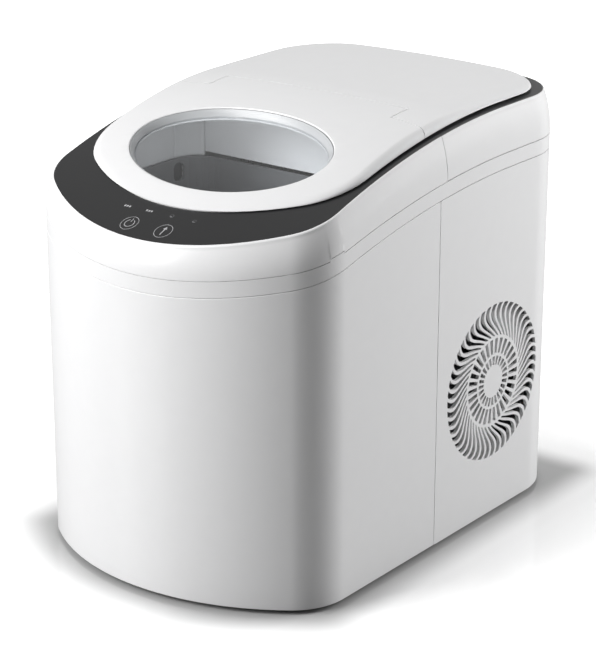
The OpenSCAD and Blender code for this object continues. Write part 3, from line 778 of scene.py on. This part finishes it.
def lid_skin():
    """The lid and the cover in one sheet. Until it is bent, z holds the distance from an edge."""
    bm = bmesh.new()
    plan = whole(LID_PLAN)
    rings = [[bm.verts.new((*p, step)) for p in inset(plan, step)] for step in EDGE_STEPS]
    for a, b in zip(rings, rings[1:]):
        ring_band(bm, a, b)
    window = []
    for step in HOLE_STEPS:
        window.append([bm.verts.new((p[0], p[1], ROLL + HOLE_ROUND - step)) for p in oval(-step)])
    for a, b in zip(window, window[1:]):
        ring_band(bm, a, b)
    for v in window[0]:
        v.co.z = ROLL
    bmesh.ops.triangle_fill(bm, edges=loop_edges(bm, (rings[-1], window[0])), use_beauty=True)
    strips(bm)
    for v in bm.verts:
        v.co.y += seam_bend(v.co.x)
    slice_mesh(bm, (0, 1, 0), [y + g for y in (EAR_Y, TONGUE_Y) for g in (-SEAM_GAP, SEAM_GAP)])
    slice_mesh(bm, (1, 0, 0), [s * TONGUE / 2 + g for s in (-1, 1) for g in (-SEAM_GAP, SEAM_GAP)])
    return bm


def part_of(centre):
    """Whether a face of the flat sheet is in the lid, in the cover or in the seam between them."""
    x, y = abs(centre.x), centre.y
    half = TONGUE / 2
    if y < EAR_Y - SEAM_GAP or (x < half - SEAM_GAP and y < TONGUE_Y - SEAM_GAP):
        return "lid"
    if y > TONGUE_Y + SEAM_GAP or (x > half + SEAM_GAP and y > EAR_Y + SEAM_GAP):
        return "cover"
    return "gap"


def keep_part(bm, wanted):
    """Keeps one part of the flat sheet, and bends it to its shape."""
    wrong = [f for f in bm.faces if part_of(f.calc_center_median()) != wanted]
    bmesh.ops.delete(bm, geom=wrong, context="FACES")
    for v in bm.verts:
        y = v.co.y - seam_bend(v.co.x)
        v.co = (v.co.x, y, roll_height(v.co.x, y, v.co.z))
    bmesh.ops.remove_doubles(bm, verts=bm.verts, dist=1e-6)
    face_up(bm)


lid_bm = lid_skin()
cover_bm = lid_bm.copy()
keep_part(lid_bm, "lid")
keep_part(cover_bm, "cover")
lid = to_object("lid_skin", lid_bm)
cover = to_object("rear_cover_skin", cover_bm)
for piece in (lid, cover):
    thicken(piece, LID_SKIN)
    soften(piece, 0.45 * MM, angle=55)
place(lid, "lid", "lid_white", LID_WHITE, "lid_shell")
place(cover, "casing", "lid_white", LID_WHITE, "rear_cover")


KNUCKLE_RADIUS, KNUCKLE_HALF = 4.3 * MM, 5.3 * MM
LID_KNUCKLE_X, COVER_KNUCKLE_X = 71.5 * MM, 84.5 * MM
PIN_RADIUS, PIN_LENGTH = 1.1 * MM, 16 * MM
# The left end of each of the two pins.
PIN_STARTS = (-83 * MM, 67 * MM)


def knuckle(name, middle, body):
    """Hinge knuckle under the skin: a round barrel on the axis with a web up to the skin."""
    x0, x1 = middle - KNUCKLE_HALF, middle + KNUCKLE_HALF
    radius = KNUCKLE_RADIUS
    bm = bmesh.new()
    outline = []
    for a in range(180, 361, 12):
        outline.append((radius * math.cos(math.radians(a)), radius * math.sin(math.radians(a))))
    top = [lid_top(x0, HINGE.y + s * radius) - LID_SKIN / 2 - HINGE.z for s in (1, -1)]
    outline += [(radius, top[0]), (-radius, top[1])]
    prism(bm, [(x0, HINGE.y + y, HINGE.z + z) for y, z in outline], x1 - x0, (1, 0, 0))
    bmesh.ops.recalc_face_normals(bm, faces=bm.faces)
    obj = to_object(name, bm)
    soften(obj, 0.4 * MM, angle=50)
    place(obj, body, "lid_white", LID_WHITE)


pins = bmesh.new()
for start in PIN_STARTS:
    rod(pins, (start, HINGE.y, HINGE.z), (1, 0, 0), PIN_LENGTH, PIN_RADIUS, 24)
bmesh.ops.recalc_face_normals(pins, faces=pins.faces)
pins = to_object("slim_hinge_pins", pins)
soften(pins, 0.2 * MM, segments=2)
place(pins, "casing", "steel", SLOT_MATERIALS["steel"], "hinge_pins")
for sign, label in ((-1, "left"), (1, "right")):
    knuckle("lid_knuckle_" + label, sign * LID_KNUCKLE_X, "lid")
    knuckle("cover_knuckle_" + label, sign * COVER_KNUCKLE_X, "casing")


# ---------------------------------------------------------------- window
# Section of the ring: inset from the window's edge, and drop below the lid's top.
RING_SECTION = ((0.15 * MM, 1.0 * MM), (0.7 * MM, 0.9 * MM), (3.4 * MM, 4.7 * MM), (3.4 * MM, 6.1 * MM),
                (0.15 * MM, 6.1 * MM))
PANE_INSET, PANE_DROP, PANE_THICKNESS = 2.9 * MM, 4.9 * MM, 1.1 * MM


def oval_point(bm, point, shrink, drop):
    x, y, nx, ny = point
    x, y = x - nx * shrink, y - ny * shrink
    return bm.verts.new((x, y, lid_top(x, y) - drop))


ring = bmesh.new()
ring_rows = [[oval_point(ring, p, d, drop) for d, drop in RING_SECTION] for p in oval(0)]
ring_rows.append(ring_rows[0])
bridge(ring, ring_rows)
bmesh.ops.recalc_face_normals(ring, faces=ring.faces)
ring = to_object("window_bevel", ring)
soften(ring, 0.2 * MM, segments=2, angle=50)
place(ring, "lid", "ring_grey", RING, "window_ring")

pane = flat_fill([[p[:2] for p in oval(PANE_INSET)]], STRIP_X)
for v in pane.verts:
    v.co.z = lid_top(v.co.x, v.co.y) - PANE_DROP
face_up(pane)
pane = to_object("window_pane", pane)
thicken(pane, PANE_THICKNESS)
place(pane, "lid", "window_clear", PANE, "lid_window")

# The lining is a shallow tray: its edge turns up to the underside of the lid.
LINING_DROP = 6.2 * MM
LINING_WALL = 1.2 * MM
LINING_TOP = 2.5 * MM
LINING_END_Y = -1 * MM
# Insets of its turned-up edge and of its flat edge from the lid's plan, and of its hole from the window.
LINING_EDGE, LINING_FLAT, LINING_HOLE = 11.7 * MM, 12.5 * MM, 3.6 * MM
lining_plan = front_half(LID_PLAN, LINING_END_Y)
lining = bmesh.new()
# Until it is bent, z is 1 on the turned-up edge and 0 elsewhere.
turn_up = add_loops(lining, [inset(lining_plan, LINING_EDGE)], 1.0)[0]
flat_edge, hole = add_loops(lining, [inset(lining_plan, LINING_FLAT), [p[:2] for p in oval(LINING_HOLE)]])
ring_band(lining, turn_up, flat_edge)
bmesh.ops.triangle_fill(lining, edges=loop_edges(lining, (flat_edge, hole)), use_beauty=True)
strips(lining)
for v in lining.verts:
    v.co.z = lid_top(v.co.x, v.co.y) - LINING_DROP + v.co.z * (LINING_DROP - LINING_TOP)
face_up(lining)
lining = to_object("lid_lining", lining)
thicken(lining, LINING_WALL)
soften(lining, 0.3 * MM, segments=2)
place(lining, "lid", "liner_grey", LINER, "lid_inner")


HEAD_SIDES = 24
HEAD_RADIUS, HEAD_RISE = 2.6 * MM, 1.3 * MM
# Profile of a head: part of its radius, and part of its rise.
HEAD_PROFILE = ((1, 0), (1, 0.35), (0.9, 0.7), (0.7, 0.9), (0.4, 1.0))
LINING_SCREWS = ((0.072, -0.097), (0.091, -0.060), (0.070, -0.012))


def pan_head(bm, x, y, z):
    """Domed screw head that hangs down from z."""
    rings = []
    for r, h in HEAD_PROFILE:
        ring = []
        for i in range(HEAD_SIDES):
            a = 2 * math.pi * i / HEAD_SIDES
            ring.append(bm.verts.new((
                x + HEAD_RADIUS * r * math.cos(a), y + HEAD_RADIUS * r * math.sin(a), z - HEAD_RISE * h,
            )))
        rings.append(ring)
    for a, b in zip(rings, rings[1:]):
        ring_band(bm, a, b)
    bm.faces.new(rings[0])
    bm.faces.new(rings[-1])


def cross(bm, centre, length, width, depth):
    """Plus-shaped cutter that reaches depth up into a head whose crown is at centre."""
    corner = [(length, -width), (length, width), (width, width)]
    plus = []
    for c, s in ((1, 0), (0, 1), (-1, 0), (0, -1)):
        plus += [(centre[0] + c * x - s * y, centre[1] + s * x + c * y, centre[2] - MM) for x, y in corner]
    prism(bm, plus, MM + depth, (0, 0, 1))


heads, recesses = bmesh.new(), bmesh.new()
for x, y in [(sign * x, y) for sign in (-1, 1) for x, y in LINING_SCREWS]:
    z = lid_top(x, y) - LINING_DROP - LINING_WALL
    pan_head(heads, x, y, z + 0.1 * MM)
    cross(recesses, (x, y, z - 1.2 * MM), 1.4 * MM, 0.3 * MM, 0.6 * MM)
bmesh.ops.recalc_face_normals(heads, faces=heads.faces)
heads = to_object("lining_screws", heads)
cut(heads, recesses, "cross_recesses")
soften(heads, 0.1 * MM, segments=1)
place(heads, "lid", "steel", SLOT_MATERIALS["steel"], "lid_screws")


# ---------------------------------------------------------------- rounded rear corners of the bin
CHEEK_RADIUS = 25 * MM
CHEEK_X, CHEEK_Y = 74 * MM, -15 * MM
CHEEK_END = (88.3 * MM, 10.2 * MM)
CHEEK_FOOT, CHEEK_DROP, CHEEK_WALL = 0.197, 3.4 * MM, 1.8 * MM
cheek_wall = wall_section(level(CHEEK_FOOT), on(BEZEL, -CHEEK_DROP), 0, -CHEEK_WALL)
for sign, label in ((-1, "left"), (1, "right")):
    bend = []
    for a in range(3, 56, 4):
        c, s = math.cos(math.radians(a)), math.sin(math.radians(a))
        bend.append((sign * CHEEK_X + sign * CHEEK_RADIUS * c, CHEEK_Y + CHEEK_RADIUS * s, sign * c, s))
    bend.append((sign * CHEEK_END[0], CHEEK_END[1], sign, 0.0))
    cheek = sweep("bin_corner_" + label, bend, cheek_wall)
    place(cheek, "casing", "liner_grey", LINER)

# Painted shade: a thin dark plate closes each finger hole from outside, a little clear of the basket, and stands
# in for the shade in the gap behind the hole.
GRIP_SHADE_PLATE, GRIP_CLEAR = 1 * MM, 0.1 * MM
GRIP_FRONT, GRIP_BACK = -22 * MM, -8 * MM
basket_low, basket_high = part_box("ice_basket")
grip_low, grip_high = basket_high.z - 21 * MM, basket_high.z - 1 * MM
for label, x in (("left", basket_low.x - GRIP_SHADE_PLATE - GRIP_CLEAR), ("right", basket_high.x + GRIP_CLEAR)):
    # A dark plate that paints the shade behind a finger hole.
    shade_plate = bmesh.new()
    box_prism(shade_plate, (x, GRIP_FRONT, grip_low), (x + GRIP_SHADE_PLATE, GRIP_BACK, grip_high))
    shade_plate = to_object("grip_shade_plate_" + label, shade_plate)
    soften(shade_plate, 0.3 * MM, segments=2)
    place(shade_plate, "basket", "plastic_black", SLOT_MATERIALS["plastic_black"])


# ---------------------------------------------------------------- floor, lights, camera
# The floor's base tone, as the object sees it and as the camera does.
FLOOR_TONE = (0.28, 0.95)
# Reach of the painted contact shadow at the casing's foot, and the part of the tone left under it.
CONTACT_SHADOW_REACH, CONTACT_SHADOW_TONE = 0.031, 0.45
# The floor's glow tops it up to white for the camera. It grows with the distance from the foot, and
# is half of the whole at this one.
GLOW_MIDDLE = 0.13
FLOOR_DROP = 0.0002
CAMERA_PLACE = Vector((0.9189, -1.1936, 0.6777))
CAMERA_AZIMUTH, CAMERA_ELEVATION = 37.54, 19.70
CAMERA_LENS, CAMERA_SENSOR = 124.6, 36
# What lights are aimed at: a point in the middle of the casing.
MIDDLE = Vector((0, 0, 0.15))
# Each softbox is a name, azimuth, elevation, distance, width, length, power in watts, and whether
# gloss shows it.
SOFTBOXES = (
    ("key_left", -34, 29, 1.9, 1.0, 1.4, 43, True),
    ("fill_right", 143, 17, 1.8, 1.0, 1.2, 36, False),
    ("overhead", 20, 86, 2.0, 1.4, 1.4, 7, False),
    ("back_fill", 262, 35, 2.4, 1.2, 1.2, 8, False),
)
# Strength of the studio's white walls: on surfaces, in their gloss, and to the camera.
WORLD_LIGHT, WORLD_GLOSS, WORLD_SEEN = 0.06, 0.45, 1.0


def foot_distance(tree, spot):
    """Distance over the floor from the casing's foot: from its box, and in front from its bow."""
    past_box = spot
    for operation, other in (("ABSOLUTE", None), ("SUBTRACT", (WIDTH / 2, BACK, 0)), ("MAXIMUM", (0, 0, 0))):
        past_box = vector_calc(tree, operation, past_box, other).outputs["Vector"]
    reach = vector_calc(tree, "LENGTH", past_box).outputs["Value"]
    bow = BODY_PLAN[1]
    bow_y = FRONT + bow
    from_centre = vector_calc(tree, "DISTANCE", spot, (0, bow_y, 0)).outputs["Value"]
    split = tree.nodes.new("ShaderNodeSeparateXYZ")
    tree.links.new(spot, split.inputs["Vector"])
    in_front = calc(tree, "LESS_THAN", split.outputs["Y"], bow_y)
    past_bow = calc(tree, "MULTIPLY", calc(tree, "SUBTRACT", from_centre, bow), in_front)
    return calc(tree, "SMOOTH_MAX", reach, past_bow, 0.01)


def studio_floor():
    """White sweep. It looks white to the camera, and throws back less light than that on the object.
    Close to the casing's foot it carries a painted contact shadow that darkens its colour."""
    material = bpy.data.materials.new("studio_floor")
    material.use_nodes = True
    tree = material.node_tree
    bsdf = tree.nodes["Principled BSDF"]
    link = tree.links.new
    seen = tree.nodes.new("ShaderNodeLightPath").outputs["Is Camera Ray"]
    distance = foot_distance(tree, tree.nodes.new("ShaderNodeTexCoord").outputs["Object"])
    tone = add(tree, "ShaderNodeMapRange", To_Min=FLOOR_TONE[0], To_Max=FLOOR_TONE[1])
    link(seen, tone.inputs["Value"])
    # Painted contact shadow: the floor's colour is darkened near the casing's foot, where shade would fall.
    painted_contact_shadow = add(tree, "ShaderNodeMapRange", From_Max=CONTACT_SHADOW_REACH, To_Min=CONTACT_SHADOW_TONE)
    painted_contact_shadow.interpolation_type = "SMOOTHSTEP"
    link(distance, painted_contact_shadow.inputs["Value"])
    shadowed_tone = calc(tree, "MULTIPLY", tone.outputs["Result"], painted_contact_shadow.outputs["Result"])
    link(shadowed_tone, bsdf.inputs["Base Color"])
    glow = tree.nodes.new("ShaderNodeValToRGB")
    glow.color_ramp.elements[0].color = (0, 0, 0, 1)
    glow.color_ramp.elements[1].color = (1, 1, 1, 1)
    glow.color_ramp.elements.new(GLOW_MIDDLE).color = (0.5, 0.5, 0.5, 1)
    link(distance, glow.inputs["Fac"])
    link(calc(tree, "MULTIPLY", glow.outputs["Color"], seen), bsdf.inputs["Emission Strength"])
    bsdf.inputs["Emission Color"].default_value = (1, 1, 1, 1)
    bsdf.inputs["Roughness"].default_value = 0.04
    bsdf.inputs["Specular IOR Level"].default_value = 0.5
    return material


floor_bm = bmesh.new()
bmesh.ops.create_grid(floor_bm, x_segments=8, y_segments=8, size=8)
floor = to_object("floor", floor_bm)
floor.location.z = cad_low.z - FLOOR_DROP
floor.data.materials.append(studio_floor())


def direction(azimuth, elevation):
    """Unit vector towards an azimuth, counted from the front to the right, and an elevation."""
    a, e = math.radians(azimuth), math.radians(elevation)
    return Vector((math.sin(a) * math.cos(e), -math.cos(a) * math.cos(e), math.sin(e)))


def softbox(name, azimuth, elevation, distance, width, length, power, aim=MIDDLE):
    lamp = bpy.data.lights.new(name, "AREA")
    lamp.shape = "RECTANGLE"
    lamp.size, lamp.size_y = width, length
    lamp.energy = power
    obj = bpy.data.objects.new(name, lamp)
    back = direction(azimuth, elevation)
    obj.location = aim + back * distance
    obj.rotation_mode = "QUATERNION"
    obj.rotation_quaternion = back.to_track_quat("Z", "Y")
    bpy.context.scene.collection.objects.link(obj)
    return obj


for *values, in_gloss in SOFTBOXES:
    softbox(*values).visible_glossy = in_gloss
# A small one inside the bin lights its pale rear wall.
bin_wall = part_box("ice_pusher")
bin_light = softbox("bin_light", 0, -5, 0.095, 0.10, 0.010, 0.060, (bin_wall[0] + bin_wall[1]) / 2)
bin_light.visible_glossy = False
bin_light.visible_camera = False

world = bpy.data.worlds.new("studio")
bpy.context.scene.world = world
world.use_nodes = True
tree = world.node_tree
rays = tree.nodes.new("ShaderNodeLightPath")
glow = tree.nodes["Background"]
glow.inputs["Color"].default_value = (1, 1, 1, 1)
glow.inputs["Strength"].default_value = WORLD_LIGHT
for test, strength in (("Is Glossy Ray", WORLD_GLOSS), ("Is Camera Ray", WORLD_SEEN)):
    walls = tree.nodes.new("ShaderNodeBackground")
    walls.inputs["Color"].default_value = (1, 1, 1, 1)
    walls.inputs["Strength"].default_value = strength
    mix = tree.nodes.new("ShaderNodeMixShader")
    tree.links.new(rays.outputs[test], mix.inputs["Fac"])
    tree.links.new(glow.outputs[0], mix.inputs[1])
    tree.links.new(walls.outputs["Background"], mix.inputs[2])
    glow = mix
tree.links.new(glow.outputs[0], tree.nodes["World Output"].inputs["Surface"])

camera_data = bpy.data.cameras.new("camera")
camera = bpy.data.objects.new("camera", camera_data)
bpy.context.scene.collection.objects.link(camera)
camera_data.sensor_width = CAMERA_SENSOR
camera_data.lens = CAMERA_LENS
camera_data.clip_start = 0.05
camera_data.clip_end = 30
camera.location = CAMERA_PLACE
camera.rotation_mode = "QUATERNION"
camera.rotation_quaternion = (-direction(CAMERA_AZIMUTH, CAMERA_ELEVATION)).to_track_quat("-Z", "Y")
bpy.context.scene.camera = camera
bpy.context.scene.view_settings.view_transform = "Standard"
